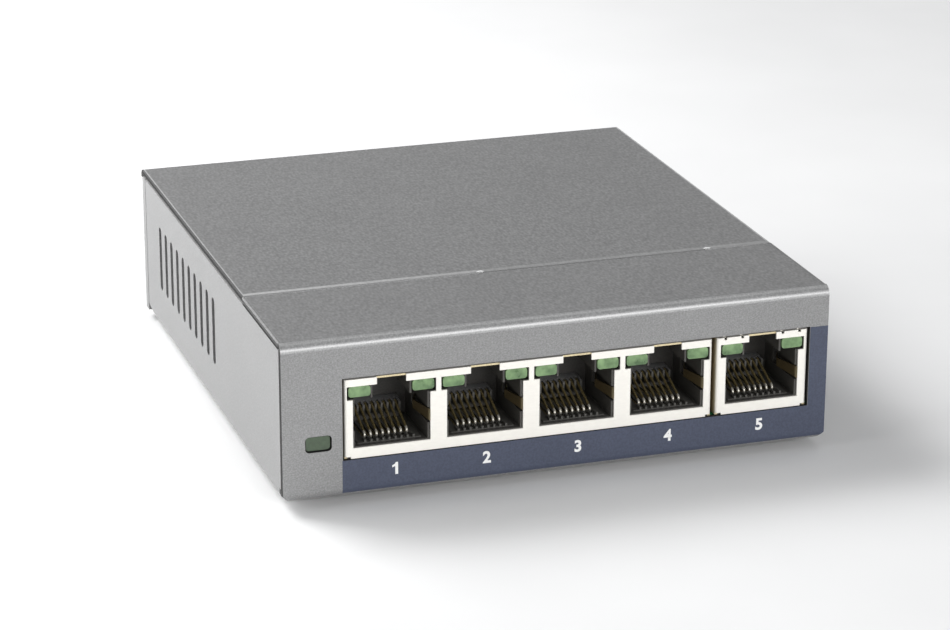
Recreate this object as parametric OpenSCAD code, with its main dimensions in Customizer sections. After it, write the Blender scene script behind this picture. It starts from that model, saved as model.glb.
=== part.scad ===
// A desktop network switch with five ports, in a case folded from two sheets of coated steel.
// Sizes are in millimetres. X runs across the front, Y from front to back and Z up.
// The origin lies under the middle of the case, on the surface that the feet stand on.

/* [Case] */
// Width of the case
case_w = 94; // [93:0.5:110]
// Depth of the case, front to back
case_d = 101; // [98:0.5:120]
// Height of the case without its feet
case_h = 27; // [26:0.5:34]
// Thickness of the sheet
sheet_t = 0.8; // [0.6:0.1:1]
// Outer radius of the bends in the sheet
bend_r = 1.5; // [1.3:0.1:2]
// Depth of the front strip of the top, up to the seam
strip_d = 24.4; // [22:0.2:28]
// Gap between two edges of sheet
seam_gap = 0.3; // [0.1:0.05:0.4]
// Cut-off corners at the bottom of the front panel
corner_cut = 1.2; // [0.6:0.1:1.5]

/* [Vents] */
// Number of slots in each side wall
vent_count = 10; // [4:1:10]
// Distance between neighbouring slots
vent_pitch = 4.5; // [3.5:0.1:4.5]
// Width of a slot
vent_w = 1.9; // [1.2:0.1:2.2]
// Length of a slot
vent_l = 12; // [6:0.5:14]

/* [Feet and wall mount] */
// Height of a rubber foot
foot_h = 1.6; // [1:0.1:3]
// Radius of a rubber foot
foot_r = 5; // [4:0.25:6]
// Distance between the two keyholes
key_spacing = 56; // [40:1:64]
// Radius of a keyhole's round entry
key_entry_r = 3.75; // [3.5:0.05:4.25]
// Width of a keyhole's slot
key_slot_w = 4; // [3.4:0.1:4.2]

/* [Board] */
// Thickness of the circuit board
pcb_t = 1.6; // [1.2:0.1:2]
// Height of the standoffs under the board
standoff_h = 4; // [3.6:0.1:4.4]

/* [Network jacks] */
// Left edge of the block of four jacks
quad_left = -36.6; // [-37:0.1:-36]
// Distance between neighbouring ports in the block of four
port_pitch = 15.75; // [15.7:0.05:16]
// Gap between the block of four and the single jack
jack_gap = 0.85; // [0.6:0.05:1]
// Width of the single jack
single_w = 16.2; // [16:0.1:16.4]
// Height of a jack
jack_h = 13.5; // [13.3:0.1:14]
// Depth of a jack
jack_d = 21.4; // [21:0.1:23]
// Thickness of a jack's shield
shield_t = 0.3; // [0.2:0.05:0.35]
// How far the jacks sit behind the face of the front panel
jack_recess = 0.2; // [0:0.05:0.4]

/* [Contacts] */
// Distance between neighbouring contact wires
wire_pitch = 1.016; // [1:0.004:1.024]
// Diameter of a contact wire
wire_d = 0.45; // [0.35:0.05:0.5]
// Slope of the contact arms at rest, in degrees
arm_slope = 21; // [20:1:25]
// Length of a contact arm behind its bend
arm_l = 6.6; // [6.2:0.1:6.7]

/* [Power inlet] */
// Centre of the inlet across the back
dc_x = 30; // [26:0.5:31]
// Diameter of the inlet's pin
dc_pin_d = 2.1; // [1.9:0.1:2.5]
// Diameter of the inlet's bore
dc_bore_d = 6.3; // [6:0.1:6.6]

/* [Reset button] */
// Centre of the button across the back
reset_x = 9; // [4:0.5:11]
// Diameter of the button's plunger
reset_d = 3.2; // [2.6:0.1:3.6]
// Diameter of the pinhole in front of it
pinhole_d = 2.2; // [1.8:0.1:2.4]

/* [Hidden] */
$fn = 48;

// How far a cut runs past the face it opens
cut = 1;
// Clearance between two pieces that are fitted together
fit = 0.1;
// Clearance of a screw in its hole
screw_fit = 0.05;

// Outer faces of the case
front_y = -case_d / 2;
rear_y = case_d / 2;
side_x = case_w / 2;
case_z = foot_h;
roof_z = case_z + case_h;
jack_y = front_y + jack_recess;
inner_r = bend_r - sheet_t;
// Rounding that the press leaves on the upper edges of the top
edge_r = 0.25;
// Straight bit left at the end of a slot with round ends
slot_flat = 0.05;

// Heights inside: top of the floor, underside and top of the board
floor_z = case_z + sheet_t;
board_z = floor_z + standoff_h;
jack_z = board_z + pcb_t;

// Side walls stop below the cover and the strip, and behind the front panel
wall_gap = 0.4;
wall_z = roof_z - sheet_t - wall_gap;
wall_front_gap = 0.45;
wall_front = front_y + sheet_t + wall_front_gap;
corner_relief = 0.6;
floor_x = side_x - bend_r - corner_relief;
channel_front = front_y + bend_r + corner_relief;

// The cover is a little narrower than the case, and the strip is narrower again
cover_inset = 0.1;
cover_x = side_x - cover_inset;
strip_inset = 0.25;
strip_x = cover_x - strip_inset;
seam_y = front_y + strip_d + seam_gap;
return_d = 3.5;
return_gap = 0.15;
return_z = roof_z - bend_r - return_gap;
return_low = case_z + seam_gap;
wall_rear = rear_y - return_d - seam_gap;
// Cut-off corner at the foot of each side wall's rear end: its length and height
wall_cut = [6, 1.8];
lip_low = floor_z + fit;

// Tongue that the cover pushes under the strip
tongue_l = 6;
tongue_w = 41;
tongue_x = 14.75;
tongue_gap = 0.1;
tongue_top = roof_z - sheet_t - tongue_gap;
tongue_notch_r = 0.4;

// Tabs of the cover that the case screws hold
tab_x = 20;
tab_w = 14;
tab_l = 9;
case_screw_inset = 5.2;
case_screw_y = rear_y - case_screw_inset;
case_screw_r = 1.4;
case_screw_head_r = 2.7;
case_screw_l = 3.9;
case_recess = [2.8, 0.6, 0.7];
collar_r = 2.4;
collar_h = 1.7;

// Feet, keyholes and standoffs on the floor
foot_inset = [14, 12];
foot_x = side_x - foot_inset[0];
foot_y = rear_y - foot_inset[1];
foot_taper = 0.4;
key_slot_l = 7;
key_y = 2;
standoff_r = 2.9;
standoff_shank_r = 2.1;
standoff_thread_r = 1.25;
pcb_screw_r = 1.2;
pcb_screw_head_r = 2.75;
pcb_screw_head_h = 1.6;
pcb_screw_l = 5;
pcb_recess = [3, 0.7, 0.8];

// Circuit board
pcb_side_gap = 1.2;
pcb_front_gap = 0.7;
pcb_rear_gap = 0.8;
pcb_w = case_w - 2 * (sheet_t + pcb_side_gap);
pcb_front = front_y + sheet_t + pcb_front_gap;
pcb_rear = rear_y - sheet_t - pcb_rear_gap;
pcb_hole_r = 1.6;
solder_l = 0.8;
standoff_inset = 4.5;
standoff_front = 16.5;
standoff_middle = 24;
standoff_rear = 14.5;
standoff_x = pcb_w / 2 - standoff_inset;
standoff_spots = [
    [-standoff_x, front_y + standoff_front], [standoff_x, jack_y + jack_d + standoff_middle],
    [-standoff_x, rear_y - standoff_rear], [standoff_x, rear_y - standoff_rear]
];

// Places of the jacks and their ports
quad_count = 4;
quad_w = quad_count * port_pitch;
quad_x = quad_left + quad_w / 2;
single_x = quad_left + quad_w + jack_gap + single_w / 2;
quad_centres = [for (i = [0:quad_count - 1]) (i - (quad_count - 1) / 2) * port_pitch];

// Opening in the front panel around both jacks
open_gap_x = [0.4, 0.3];
open_gap_z = [0.1, 0.4];
open_x = [quad_left - open_gap_x[0], single_x + single_w / 2 + open_gap_x[1]];
open_z = [jack_z - open_gap_z[0], jack_z + jack_h + open_gap_z[1]];

// Windows in a jack's shield, above the jack's foot
window_w = 12.96;
window_low = 1.76;
led_row_w = 14.9;
led_low = 10;
bar_low = 12.3;
notch_w = 4.9;
notch_back = 0.05;
shield_edge_r = 0.5;
tip_notch = [0.5, 0.9, 0.4];
tip_notch_x = [3.6, 6.6];
foot_notch = [1, 0.35];

// Grounding springs at the sides of a window
spring_t = 0.25;
spring_in = 1.25;
spring_peak = 5.9;
spring_l = 9;
spring_h = 2;
spring_taper = 0.45;
spring_z = 4.9;

// Legs of the shields and pegs of the housings, which pass through the board
leg_y = 9;
leg_w = 1.4;
leg_h = pcb_t + solder_l;
leg_fit = 0.2;
peg_r = 0.9;
peg_y = 6;
peg_inset = 1.4;

// Hollow of a port
plug_w = 12.2;
plug_d = 12.8;
plug_low = 1.9;
latch_w = 6.2;
led_x = [3.5, 7.15];
led_d = 4.4;
led_front = 0.1;
led_up = 0.45;
led_edge_r = 0.5;
groove_w = 14;
groove_spare = 0.6;
groove_gap = 0.3;

// Comb that carries the wires of a port
carrier_w = 10.7;
carrier_y = [1.4, 15.4];
carrier_floor = 2;
carrier_wall = [11, 13.6];
carrier_h = 5.3;
comb_w = 8.9;
rib_w = 0.34;
rib_y = 9.2;
rib_low = 3.2;
front_rib_h = 0.45;
front_rib_end = 2.9;
well_y = [1.2, 0.4];
well_depth = 0.3;

// Contact wires: eight per port, bent round at the front
wire_count = 8;
wire_r = wire_d / 2;
wire_bend_r = 0.6;
arm_step = 0.01;
arm_root = 0.05;
wire_bend_y = 4.2;
wire_bend_z = 2.2;
wire_break = 0.1;
lead_z = wire_bend_z - wire_bend_r;
tail_y = [16.2, 18.2];
wire_hole_gap = 0.15;
wire_hole_r = wire_r + wire_hole_gap;
wire_spots = [for (k = [0:wire_count - 1]) (k - (wire_count - 1) / 2) * wire_pitch];
rib_spots = [for (k = [0:wire_count]) (k - wire_count / 2) * wire_pitch];

// Power lens in the front panel
lens_w = 4;
lens_h = 2.3;
lens_edge_r = 0.5;
lens_fit = 0.2;
lens_offset = 4;
lens_up = 9.65;
lens_x = open_x[0] - lens_offset;
lens_z = case_z + lens_up;
lens_recess = 0.4;
lens_l = 5;
holder_w = 5.4;
holder_inset = 0.4;
holder_l = 5.2;
holder_wall = 0.8;
holder_y = [pcb_front + holder_inset, pcb_front + holder_inset + holder_l];

// Power inlet
dc_w = 9;
dc_h = 11;
dc_l = 14;
dc_axis = 6.5;
dc_bore_l = 10;
dc_pin_inset = 1.2;
dc_shank_step = 0.3;
dc_shank_r = dc_pin_d / 2 + dc_shank_step;
dc_pin_l = 11.4;
dc_opening_gap = 0.25;
dc_slot_w = 3.2;
dc_slot_y = 2.5;
dc_spring_w = 2.4;
dc_spring_t = 0.4;
dc_spring_y = [3.2, 5, 5.6, 8];
dc_spring_up = 1.6;
dc_spring_rise = 0.3;
dc_tail_w = 2;
dc_tail_t = 0.5;
dc_tail_room = 1;
dc_tail_hole_r = norm([dc_spring_w, dc_tail_t]) / 2 + leg_fit;

// Reset switch
reset_z = 4.4;
reset_gap = 0.4;
reset_tip = rear_y - sheet_t - reset_gap;
reset_out = 2;
reset_in = 1.5;
reset_body = [7, 3.8, 7.2];
reset_play = 0.15;
reset_spare = 0.7;
reset_bore_l = reset_in + reset_spare;

// Lock slot in the back panel
lock_w = 7;
lock_h = 3;
lock_x = -32;
lock_up = 13;
lock_z = case_z + lock_up;

// Vent slots in the side walls
vent_inset = 15.3;
vent_up = 14;

// Parts on the board
magnetics_size = [15, 9.6, 5.6];
magnetics_gap = 8.6;
magnetics_y = jack_y + jack_d + magnetics_gap;
magnetics_legs = 12;
magnetics_leg_pitch = 1.1;
magnetics_leg = [0.5, 2.2, 0.6];
chip_spot = [-6, 8];
chip_w = 14;
chip_h = 1.5;
chip_lift = 0.1;
chip_leads = 16;
chip_lead_pitch = 0.8;
chip_lead = [0.35, 2, 0.3];
pad_t = 0.5;
sink_w = 26;
sink_base = 2;
sink_h = 10;
sink_fins = 7;
sink_fin_t = 1.3;
small_chip = [5, 4, 1.6];
small_chip_leads = 4;
small_chip_pitch = 1.27;
small_chip_lead = [0.4, 2, 0.4];
flash_spot = [18, 6];
regulator_spot = [33, 8];
crystal_spot = [17, 17];
crystal_size = [11, 4.6, 3.5];
inductor_spot = [29, 18];
inductor_w = 7.2;
inductor_h = 4;
inductor_edge_r = 1;
can_r = 4;
can_h = 11.5;
can_groove_r = 0.4;
can_groove_z = 1.6;
can_spots = [[24.5, 28], [34, 28], [-32, 26]];

// Centre of a port across the front, counted from the left
function port_x(i) = i <= quad_count ? quad_x + quad_centres[i - 1] : single_x;

// Shapes that several pieces share

// A block between two values along each axis
module span(x, y, z) {
    translate([x[0], y[0], z[0]]) cube([x[1] - x[0], y[1] - y[0], z[1] - z[0]]);
}

// The same piece on the right and on the left
module both_sides() {
    children();
    mirror([1, 0, 0]) children();
}

// A shape seen from the side, drawn out across the width
module along_x(w) {
    translate([-w / 2, 0, 0]) rotate([90, 0, 90]) linear_extrude(w) children();
}

// A shape seen from the front, drawn out from one Y to another
module along_y(y0, y1) {
    translate([0, y1, 0]) rotate([90, 0, 0]) linear_extrude(y1 - y0) children();
}

// A rectangle with four rounded corners, about its centre
module rounded_rect(w, h, r) {
    square([w - 2 * r, h], center = true);
    square([w, h - 2 * r], center = true);
    for (x = [r - w / 2, w / 2 - r], y = [r - h / 2, h / 2 - r]) translate([x, y]) circle(r);
}

// A rectangle that stands on the X axis, with its two lower corners rounded
module rounded_foot(w, h, r) {
    translate([-w / 2, r]) square([w, h - r]);
    translate([r - w / 2, 0]) square([w - 2 * r, h]);
    for (x = [r - w / 2, w / 2 - r]) translate([x, r]) circle(r);
}

// A rectangle in the first quadrant, with a bend at its upper left and a rounded edge at its upper right
module rounded_corner(d, h, r) {
    square([d, h - r]);
    translate([r, 0]) square([d - r - edge_r, h]);
    translate([r, 0]) square([d - r, h - edge_r]);
    translate([r, h - r]) circle(r);
    translate([d - edge_r, h - edge_r]) circle(edge_r);
}

// Sheet bent into a channel, with the floor on the X axis and an open top
module channel(w, h) {
    difference() {
        rounded_foot(w, h, bend_r);
        translate([0, sheet_t]) rounded_foot(w - 2 * sheet_t, h, inner_r);
    }
}

// Sheet bent once: down along the Y axis and across at the top
module angle_sheet(d, h) {
    difference() {
        rounded_corner(d, h, bend_r);
        translate([sheet_t, -cut]) rounded_corner(d, h - sheet_t + cut, inner_r);
    }
}

// Cuts the upper edge of the top round, along its right side
module edge_round(x, y0, y1) {
    along_y(y0, y1) translate([x - edge_r, roof_z - edge_r]) difference() {
        square(edge_r + cut);
        circle(edge_r);
    }
}

// A round hole through the floor
module floor_hole(spot, r) {
    translate([spot[0], spot[1], case_z - cut]) cylinder(r = r, h = sheet_t + 2 * cut);
}

// The case

// Front panel with its bends and the strip of the top, seen from the side
module front_profile() {
    translate([0, case_h / 2]) angle_sheet(strip_d, case_h / 2);
    mirror([0, 1]) translate([0, -case_h / 2]) angle_sheet(bend_r + cut, case_h / 2);
}

// Front panel folded up from the floor, with its corners cut off
module front_band() {
    difference() {
        translate([0, front_y, case_z]) along_x(case_w) front_profile();
        both_sides() {
            span([strip_x, side_x + cut], [front_y + bend_r, rear_y], [wall_z, roof_z + cut]);
            edge_round(strip_x, front_y + bend_r, seam_y);
            span([floor_x, side_x + cut], [front_y + bend_r, rear_y], [case_z - cut, floor_z + cut]);
            along_y(front_y - cut, front_y + bend_r + cut) polygon([
                [side_x - corner_cut - cut, case_z - cut],
                [side_x + cut, case_z - cut],
                [side_x + cut, case_z + corner_cut + cut]
            ]);
        }
    }
}

// Cuts the lower rear corner off the right side wall
module wall_corner() {
    rise = wall_cut[1] / wall_cut[0];
    translate([side_x, 0, 0]) along_x(2 * (side_x - floor_x)) polygon([
        [wall_rear + cut, case_z - cut],
        [wall_rear + cut, case_z + wall_cut[1] + cut * rise],
        [wall_rear - wall_cut[0] - cut / rise, case_z - cut]
    ]);
}

// A row of vent slots through both side walls
module vent_row() {
    for (i = [0:vent_count - 1])
        translate([0, rear_y - vent_inset - i * vent_pitch, case_z + vent_up])
            rotate([90, 0, 90])
                translate([0, 0, -side_x - cut])
                    linear_extrude(case_w + 2 * cut)
                        rounded_rect(vent_w, vent_l, vent_w / 2 - slot_flat);
}

// Keyhole in the floor: a screw's head goes in and the slot runs towards the back
module keyhole(x) {
    floor_hole([x, key_y], key_entry_r);
    floor_hole([x, key_y + key_slot_l], key_slot_w / 2);
    span([x - key_slot_w / 2, x + key_slot_w / 2], [key_y, key_y + key_slot_l],
        [case_z - cut, floor_z + cut]);
}

// Countersunk hole for a case screw
module countersink(grow) {
    cylinder(r1 = case_screw_head_r + grow, r2 = case_screw_head_r - sheet_t + grow, h = sheet_t);
}

module base_tray() {
    color([0.66, 0.66, 0.67]) difference() {
        union() {
            front_band();
            translate([0, 0, case_z]) along_y(channel_front, wall_rear) channel(case_w, wall_z - case_z);
            span([-floor_x, floor_x], [front_y + bend_r, rear_y - seam_gap], [case_z, floor_z]);
            both_sides() span([side_x - sheet_t, side_x], [wall_front, channel_front + cut],
                [case_z + bend_r + corner_relief, wall_z]);
        }
        span(open_x, [front_y - cut, front_y + sheet_t + cut], open_z);
        translate([lens_x, 0, lens_z]) along_y(front_y - cut, front_y + sheet_t + cut)
            rounded_rect(lens_w + 2 * lens_fit, lens_h + 2 * lens_fit, lens_edge_r + lens_fit);
        vent_row();
        both_sides() wall_corner();
        for (x = [-key_spacing / 2, key_spacing / 2]) keyhole(x);
        for (spot = standoff_spots) floor_hole(spot, standoff_shank_r + screw_fit);
        for (x = [-tab_x, tab_x]) translate([x, case_screw_y, case_z]) countersink(screw_fit);
    }
}

// Tab of the cover, bent forward above the floor, with a collar for the screw's thread
module cover_tab() {
    translate([0, rear_y, lip_low]) mirror([0, 1, 0]) along_x(tab_w)
        translate([0, bend_r + cut]) mirror([0, 1]) angle_sheet(tab_l, bend_r + cut);
    translate([0, case_screw_y, lip_low]) cylinder(r = collar_r, h = collar_h);
}

// Back panel with the two returns that close the gaps beside it
module back_returns() {
    difference() {
        translate([0, rear_y, return_low]) mirror([0, 1, 0])
            linear_extrude(return_z - return_low) channel(case_w, return_d);
        span([-floor_x, floor_x], [rear_y - bend_r, rear_y + cut], [case_z - cut, lip_low]);
    }
    both_sides() span([side_x - sheet_t, side_x], [rear_y - return_d, rear_y - bend_r - fit],
        [return_z - cut, wall_z]);
}

// Top and back panel, bent once along the rear edge
module cover_sheet() {
    difference() {
        translate([0, rear_y, case_z]) mirror([0, 1, 0])
            along_x(2 * cover_x) angle_sheet(case_d - strip_d - seam_gap, case_h);
        both_sides() span([side_x - bend_r, side_x], [rear_y - bend_r, rear_y + cut],
            [case_z - cut, return_z + fit]);
        span([-side_x, side_x], [rear_y - bend_r, rear_y + cut], [case_z - cut, lip_low]);
        for (x = [-tongue_w / 2, tongue_w / 2]) translate([tongue_x + x, seam_y, roof_z - sheet_t - cut])
            cylinder(r = tongue_notch_r, h = sheet_t + 2 * cut);
        both_sides() edge_round(cover_x, seam_y - cut, rear_y + cut);
    }
}

// Tongue set down by one sheet, so that it slides under the strip
module cover_tongue() {
    x = [tongue_x - tongue_w / 2 + tongue_notch_r, tongue_x + tongue_w / 2 - tongue_notch_r];
    span(x, [seam_y - tongue_l, seam_y + sheet_t], [tongue_top - sheet_t, tongue_top]);
    span(x, [seam_y, seam_y + sheet_t], [tongue_top - sheet_t, roof_z - edge_r]);
}

module top_cover() {
    color([0.56, 0.56, 0.56]) difference() {
        union() {
            difference() {
                union() {
                    cover_sheet();
                    back_returns();
                }
                for (x = [-tab_x, tab_x]) span([x - tab_w / 2, x + tab_w / 2],
                    [rear_y - bend_r, rear_y + cut], [case_z - cut, lip_low + bend_r]);
            }
            cover_tongue();
            for (x = [-tab_x, tab_x]) translate([x, 0, 0]) cover_tab();
        }
        for (x = [-tab_x, tab_x]) translate([x, case_screw_y, lip_low - cut])
            cylinder(r = case_screw_r + screw_fit, h = collar_h + 2 * cut);
        span([dc_x - dc_w / 2 - dc_opening_gap, dc_x + dc_w / 2 + dc_opening_gap],
            [rear_y - sheet_t - cut, rear_y + cut],
            [jack_z - dc_opening_gap, jack_z + dc_h + dc_opening_gap]);
        translate([reset_x, rear_y + cut, jack_z + reset_z]) rotate([90, 0, 0])
            cylinder(d = pinhole_d, h = sheet_t + 2 * cut);
        translate([lock_x, 0, lock_z]) along_y(rear_y - sheet_t - cut, rear_y + cut)
            rounded_rect(lock_w, lock_h, lock_h / 4);
    }
}

module case_screws() {
    color([0.75, 0.75, 0.76]) for (x = [-tab_x, tab_x]) translate([x, case_screw_y, case_z])
        difference() {
            union() {
                countersink(0);
                cylinder(r = case_screw_r, h = case_screw_l);
            }
            for (turn = [0, 90]) rotate(turn)
                cube([case_recess[0], case_recess[1], 2 * case_recess[2]], center = true);
        }
}

module rubber_feet() {
    color([0.1, 0.1, 0.1]) for (x = [-foot_x, foot_x], y = [-foot_y, foot_y]) translate([x, y, 0]) {
        cylinder(r1 = foot_r - foot_taper, r2 = foot_r, h = foot_taper);
        translate([0, 0, foot_taper]) cylinder(r = foot_r, h = foot_h - foot_taper);
    }
}

// The board and what carries it

module standoffs() {
    color([0.8, 0.68, 0.4]) for (spot = standoff_spots) translate([spot[0], spot[1], 0]) difference() {
        union() {
            translate([0, 0, case_z]) cylinder(r = standoff_shank_r, h = sheet_t);
            translate([0, 0, floor_z]) cylinder(r = standoff_r, h = standoff_h);
        }
        translate([0, 0, case_z + sheet_t]) cylinder(r = standoff_thread_r, h = standoff_h + cut);
    }
}

module pcb_screws() {
    color([0.75, 0.75, 0.76]) for (spot = standoff_spots) translate([spot[0], spot[1], jack_z]) {
        translate([0, 0, pcb_t - pcb_screw_l]) cylinder(r = pcb_screw_r, h = pcb_screw_l - pcb_t);
        difference() {
            cylinder(r = pcb_screw_head_r, h = pcb_screw_head_h);
            for (turn = [0, 90]) rotate(turn) translate([0, 0, pcb_screw_head_h])
                cube([pcb_recess[0], pcb_recess[1], 2 * pcb_recess[2]], center = true);
        }
    }
}

// Holes in the board for the wires, legs and pegs of one jack
module jack_holes(w, centres) {
    for (c = centres, k = [0:wire_count - 1])
        translate([c + wire_spots[k], tail_y[k % 2], -pcb_t - cut])
            cylinder(r = wire_hole_r, h = pcb_t + 2 * cut);
    both_sides() span([w / 2 - shield_t - leg_fit, w / 2 + leg_fit],
        [leg_y - leg_fit, leg_y + leg_w + leg_fit], [-pcb_t - cut, cut]);
    both_sides() translate([w / 2 - peg_inset, peg_y, -pcb_t - cut])
        cylinder(r = peg_r + fit, h = pcb_t + 2 * cut);
}

module pcb() {
    color([0.1, 0.32, 0.16]) difference() {
        span([-pcb_w / 2, pcb_w / 2], [pcb_front, pcb_rear], [board_z, jack_z]);
        for (spot = standoff_spots) translate([spot[0], spot[1], board_z - cut])
            cylinder(r = pcb_hole_r, h = pcb_t + 2 * cut);
        translate([quad_x, jack_y, jack_z]) jack_holes(quad_w, quad_centres);
        translate([single_x, jack_y, jack_z]) jack_holes(single_w, [0]);
        for (y = dc_tail_spots()) translate([dc_x, y, board_z - cut])
            cylinder(r = dc_tail_hole_r, h = pcb_t + 2 * cut);
    }
}

// The network jacks, each drawn from its own front face, middle and foot

// Window in a shield: the plug's mouth, the row of lenses and the latch's notch
module window_outline() {
    translate([-window_w / 2, window_low]) square([window_w, bar_low - window_low]);
    translate([-led_row_w / 2, led_low]) square([led_row_w, bar_low - led_low]);
    translate([-notch_w / 2, led_low]) square([notch_w, jack_h - shield_t - led_low]);
}

// Spring at the right edge of a window, bent in against the plug and narrower towards the back
module ground_spring() {
    edge = window_w / 2;
    translate([0, 0, spring_z]) intersection() {
        linear_extrude(spring_h) polygon([
            [edge, 0], [edge + spring_t, 0], [edge - spring_in + spring_t, spring_peak],
            [edge + spring_t, spring_l], [edge, spring_l], [edge - spring_in, spring_peak]
        ]);
        along_x(2 * window_w) polygon([
            [0, 0], [spring_l, spring_taper], [spring_l, spring_h - spring_taper], [0, spring_h]
        ]);
    }
}

// Cut through the front edge of the top sheet, above the latch
module latch_cut() {
    span([-notch_w / 2, notch_w / 2], [-cut, shield_t + notch_back], [led_low, jack_h + cut]);
}

module jack_shield(w, centres) {
    difference() {
        translate([0, jack_d / 2, 0]) linear_extrude(jack_h) rounded_rect(w, jack_d, shield_edge_r);
        translate([0, jack_d / 2, -cut]) linear_extrude(jack_h - shield_t + cut)
            rounded_rect(w - 2 * shield_t, jack_d - 2 * shield_t, shield_edge_r - shield_t / 2);
        for (c = centres) translate([c, 0, 0]) {
            along_y(-cut, shield_t + cut) window_outline();
            latch_cut();
        }
        both_sides() span([w / 2 - foot_notch[0], w / 2 + cut],
            [-cut, shield_t + notch_back], [-cut, foot_notch[1]]);
    }
    for (c = centres) translate([c, 0, 0]) both_sides() ground_spring();
    both_sides() span([w / 2 - shield_t, w / 2], [leg_y, leg_y + leg_w], [-leg_h, cut]);
}

module quad_jack_shield() {
    color([0.93, 0.91, 0.86]) translate([quad_x, jack_y, jack_z]) jack_shield(quad_w, quad_centres);
}

// The single jack's shield also has small notches in the fold of its top edge
module single_jack_shield() {
    color([0.93, 0.91, 0.86]) translate([single_x, jack_y, jack_z]) difference() {
        jack_shield(single_w, [0]);
        both_sides() for (x = tip_notch_x) span([x - tip_notch[0] / 2, x + tip_notch[0] / 2],
            [-cut, tip_notch[1]], [jack_h - tip_notch[2], jack_h + cut]);
    }
}

// Hollow of one port: plug, latch, lenses, grounding springs and the carrier's slot
module port_hollow() {
    span([-plug_w / 2, plug_w / 2], [0, plug_d], [plug_low, led_low]);
    span([-latch_w / 2, latch_w / 2], [0, plug_d], [plug_low, jack_h]);
    both_sides() {
        span([led_x[0] - fit, led_row_w / 2], [0, led_d + fit], [led_low, bar_low + fit]);
        span([0, groove_w / 2], [0, spring_l + groove_spare],
            [spring_z - groove_gap, spring_z + spring_h + groove_gap]);
    }
    span([-carrier_w / 2 - fit, carrier_w / 2 + fit], [carrier_y[0] - fit, jack_d], [-cut, plug_low + fit]);
    span([-comb_w / 2 - fit, comb_w / 2 + fit], [carrier_wall[0], jack_d], [-cut, carrier_h + fit]);
}

module jack_housing(w, centres) {
    x = w / 2 - shield_t - fit;
    difference() {
        span([-x, x], [shield_t + fit, jack_d - shield_t - fit], [0, jack_h - shield_t - fit]);
        for (c = centres) translate([c, 0, 0]) port_hollow();
    }
    both_sides() translate([w / 2 - peg_inset, peg_y, -pcb_t]) cylinder(r = peg_r, h = pcb_t + fit);
}

module quad_jack_housing() {
    color([0.1, 0.1, 0.1]) translate([quad_x, jack_y, jack_z]) jack_housing(quad_w, quad_centres);
}

module single_jack_housing() {
    color([0.1, 0.1, 0.1]) translate([single_x, jack_y, jack_z]) jack_housing(single_w, [0]);
}

// Carries its children to the front, middle and foot of a port
module at_port(i) {
    translate([port_x(i), jack_y, jack_z]) children();
}

// Ribs of a comb, one on each side of every wire
module ribs(y, z) {
    for (x = rib_spots) span([x - rib_w / 2, x + rib_w / 2], y, z);
}

module contact_carrier(i) {
    color([0.16, 0.16, 0.17]) at_port(i) difference() {
        union() {
            span([-carrier_w / 2, carrier_w / 2], carrier_y, [0, carrier_floor]);
            span([-comb_w / 2, comb_w / 2], carrier_wall, [0, carrier_h]);
            ribs([rib_y, carrier_wall[0] + fit], [rib_low, carrier_h]);
            ribs([carrier_y[0], front_rib_end], [carrier_floor - fit, carrier_floor + front_rib_h]);
        }
        for (x = wire_spots) {
            span([x - wire_r - fit / 2, x + wire_r + fit / 2], [wire_bend_y, carrier_y[1] + cut],
                [lead_z - wire_r, carrier_floor + fit]);
            span([x - wire_r - fit, x + wire_r + fit], [wire_bend_y - well_y[0], wire_bend_y + well_y[1]],
                [lead_z - wire_r - well_depth, carrier_floor + fit]);
        }
    }
}

// The sprung part of the wires: a bend at the front and an arm that rises to the back,
// a hair thinner than the bend and rooted in it
module contacts(i) {
    color([0.85, 0.68, 0.3]) at_port(i) for (x = wire_spots) translate([x, wire_bend_y, wire_bend_z]) {
        rotate([90, 0, 90]) rotate(90 + arm_slope) rotate_extrude(angle = 180 - arm_slope)
            translate([wire_bend_r, 0]) circle(wire_r);
        translate([0, -wire_bend_r * sin(arm_slope), wire_bend_r * cos(arm_slope)])
            rotate([arm_slope - 90, 0, 0]) {
                translate([0, 0, -arm_root]) cylinder(r = wire_r - arm_step, h = arm_l + arm_root);
                translate([0, 0, arm_l]) sphere(wire_r - arm_step);
            }
    }
}

// The fixed part of the wires: back along the carrier and down through the board
module contact_leads(i) {
    color([0.85, 0.68, 0.3]) at_port(i) for (k = [0:wire_count - 1]) translate([wire_spots[k], 0, 0]) {
        start = wire_bend_y + wire_break;
        end = tail_y[k % 2];
        translate([0, end, lead_z]) {
            rotate([90, 0, 0]) cylinder(r = wire_r, h = end - start);
            sphere(wire_r);
            translate([0, 0, -lead_z - leg_h]) cylinder(r = wire_r, h = lead_z + leg_h);
        }
    }
}

module port_leds(i) {
    middle = (led_x[0] + led_x[1]) / 2;
    low = led_low + led_up;
    top = bar_low - fit / 2;
    color([0.4, 0.72, 0.38]) at_port(i) both_sides() translate([middle, 0, (low + top) / 2])
        along_y(led_front, led_d) rounded_rect(led_x[1] - led_x[0], top - low, led_edge_r);
}

// Parts on the board

module magnetics(i) {
    size = magnetics_size;
    row = (magnetics_legs - 1) / 2;
    color([0.12, 0.12, 0.12]) translate([port_x(i), magnetics_y, jack_z]) {
        span([-size[0] / 2, size[0] / 2], [-size[1] / 2, size[1] / 2], [chip_lift, size[2]]);
        for (k = [-row:row], side = [-1, 1])
            translate([k * magnetics_leg_pitch, side * size[1] / 2, magnetics_leg[2] / 2])
                cube(magnetics_leg, center = true);
    }
}

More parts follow.
